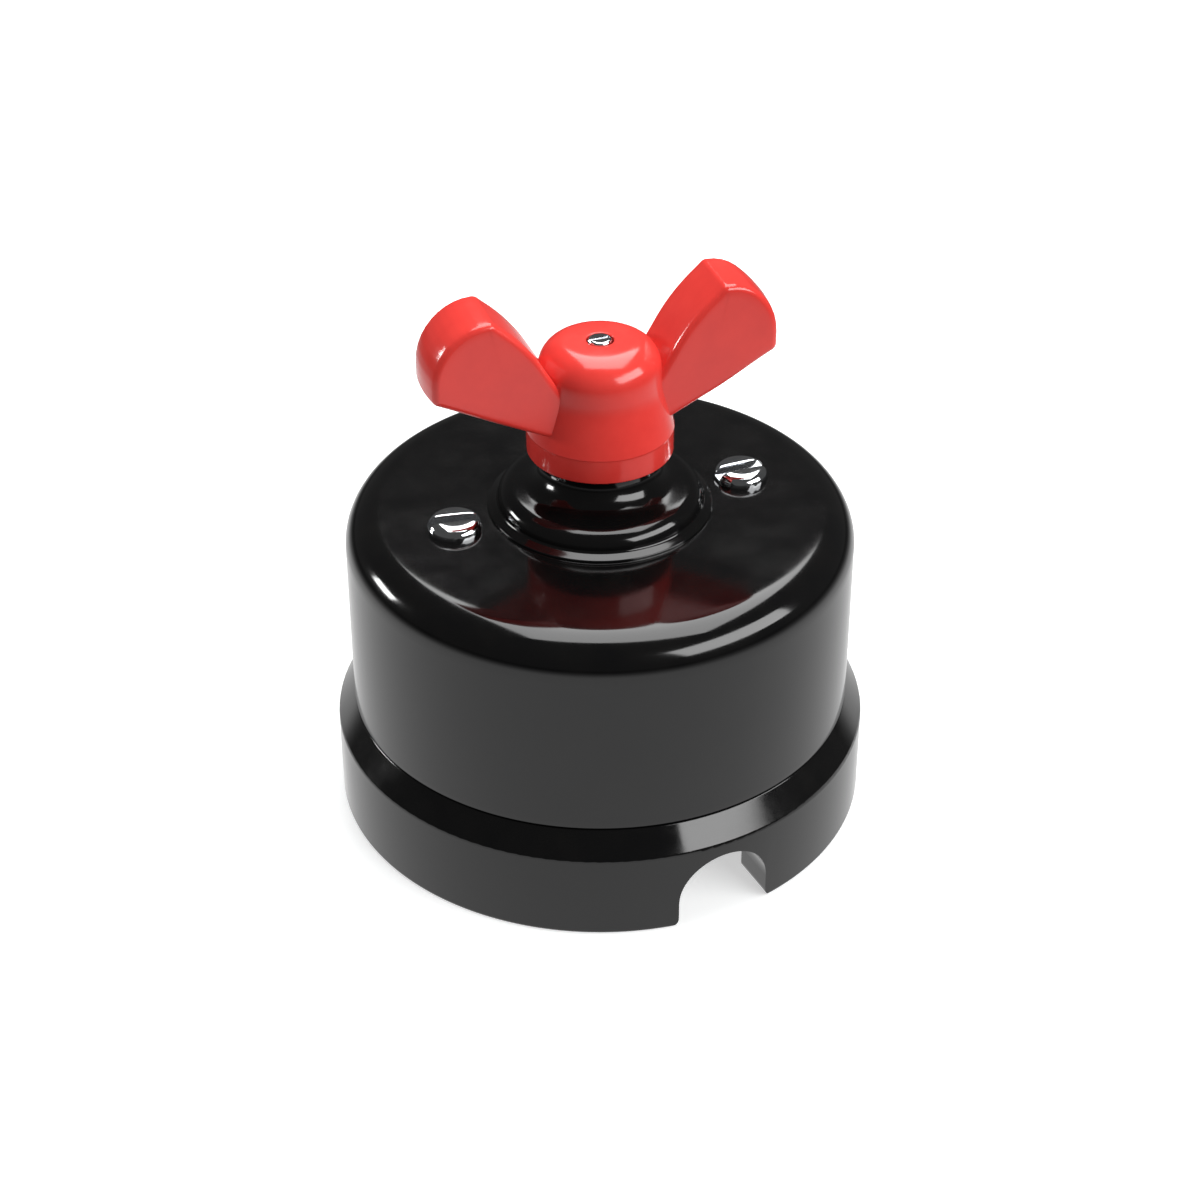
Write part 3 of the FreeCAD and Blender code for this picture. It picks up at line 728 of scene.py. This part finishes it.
def paper_floor():
    """A flat square sheet with its middle under the switch."""
    mesh = bpy.data.meshes.new("paper_floor")
    signs = ((-1, -1), (1, -1), (1, 1), (-1, 1))
    corners = [(x * FLOOR_HALF, y * FLOOR_HALF, 0.0) for x, y in signs]
    mesh.from_pydata(corners, [], [(0, 1, 2, 3)])
    mesh.materials.append(white_paper())
    sheet = put_in_scene("paper_floor", mesh)
    return sheet


floor = paper_floor()
print("floor:", floor.name)

# %% [markdown]
# ## The lamps
# Glaze mirrors its lights plainly, so each light here is one of the highlights in the
# photograph: a ceiling box behind draws the crescent on the rim, a large box on the right
# draws the bright ends, and a small lamp low on the left draws the spots. All places are
# counted from the camera, which stands VIEW_TURN degrees round from the front.

# %% Lights

VIEW_TURN = -18.9
LAMP_AIM = 30 * MM
LAMP_DISTANCE = 1.0


def area_lamp(name, width, height, power):
    """A rectangular area light, not yet placed."""
    data = bpy.data.lights.new(name, "AREA")
    data.shape = "RECTANGLE"
    data.size, data.size_y = width, height
    data.energy = power
    return put_in_scene(name, data)


def look_at_axis(thing, azimuth, elevation, aim, distance):
    """Puts a lamp or a camera on a sphere round a point of the axis, and aims it there."""
    turn, rise = math.radians(azimuth + VIEW_TURN), math.radians(elevation)
    away = Vector((
        math.sin(turn) * math.cos(rise), -math.cos(turn) * math.cos(rise), math.sin(rise)))
    thing.location = Vector((0, 0, aim)) + away * distance
    thing.rotation_mode = "QUATERNION"
    thing.rotation_quaternion = away.to_track_quat("Z", "Y")


def soft_box(name, azimuth, elevation, width, height, power):
    """An area light aimed at the switch. Azimuth is counted from the camera to its right."""
    lamp = area_lamp(name, width, height, power)
    look_at_axis(lamp, azimuth, elevation, LAMP_AIM, LAMP_DISTANCE)
    return lamp


def ceiling_box(name, right, back, height, width, depth, power):
    """A level area light that faces down, placed to the camera's right and behind the switch."""
    lamp = area_lamp(name, width, depth, power)
    turn = math.radians(VIEW_TURN)
    x = right * math.cos(turn) - back * math.sin(turn)
    y = right * math.sin(turn) + back * math.cos(turn)
    lamp.location = (x, y, height)
    lamp.rotation_euler = (0, 0, turn)
    return lamp


lamps = [
    ceiling_box(
        "top_back_box", right=0.08, back=0.43, height=0.8, width=0.62, depth=1.04, power=11.0),
    soft_box("right_box", azimuth=62, elevation=31, width=0.93, height=0.42, power=9.0),
    soft_box("left_lamp", azimuth=-105, elevation=15, width=0.25, height=0.17, power=3.3),
]
print("lights:", [lamp.name for lamp in lamps])

# %% [markdown]
# ## The dark room
# Away from the lamps the studio is dim: darkest behind the camera and a little brighter
# behind the switch, which is what the flat top of the cover mirrors.

# %% World

FRONT_LEVEL, BACK_LEVEL = 0.08, 0.09
FILL_LEVEL = 0.25


def studio_room():
    """Mirrored level = front + (back - front) (direction . behind), never under the front;
    matt surfaces are lit by an even fill instead."""
    world = bpy.data.worlds.new("studio_room")
    bpy.context.scene.world = world
    world.use_nodes = True
    tree = world.node_tree
    direction = tree.nodes.new("ShaderNodeTexCoord").outputs["Generated"]
    turn = math.radians(VIEW_TURN)
    behind = (-math.sin(turn), math.cos(turn), 0.0)
    facing = add(tree, "ShaderNodeVectorMath", {"operation": "DOT_PRODUCT"}, direction, behind)
    level = map_range(tree, facing.outputs["Value"], target=(FRONT_LEVEL, BACK_LEVEL))
    path = tree.nodes.new("ShaderNodeLightPath")
    fill = add(
        tree, "ShaderNodeMix", {"data_type": "FLOAT"}, Factor=path.outputs["Is Diffuse Ray"],
        A=level, B=FILL_LEVEL)
    set_inputs(
        tree, tree.nodes["Background"], Color=(1.0, 1.0, 1.0, 1.0), Strength=fill.outputs[0])
    return world


room = studio_room()
print("world:", room.name)

# %% [markdown]
# ## The camera
# The ellipses of the flange and the rim fix the photograph's view: the camera stands
# 0.36 m from the middle of the drum, 34.4 degrees above the floor, with an 80 mm lens
# on a 36 mm sensor. The picture's own horizontal centre is the switch's axis.

# %% Camera

CAMERA_DISTANCE = 360 * MM
CAMERA_RISE = 34.42
CAMERA_AIM = 27.93 * MM
FOCAL_PIXELS = 2663.9
PICTURE_PIXELS = 1200


def photo_camera():
    """A camera on the sphere round the aim point, looking at it."""
    data = bpy.data.cameras.new("photo_camera")
    data.sensor_width = 36.0
    data.lens = data.sensor_width * FOCAL_PIXELS / PICTURE_PIXELS
    data.clip_start, data.clip_end = 0.01, 20
    camera = put_in_scene("photo_camera", data)
    look_at_axis(camera, 0.0, CAMERA_RISE, CAMERA_AIM, CAMERA_DISTANCE)
    bpy.context.scene.camera = camera
    return camera


camera = photo_camera()
bpy.context.scene.view_settings.view_transform = "Standard"
print("camera at", [round(c, 4) for c in camera.location], "lens", round(camera.data.lens, 2))
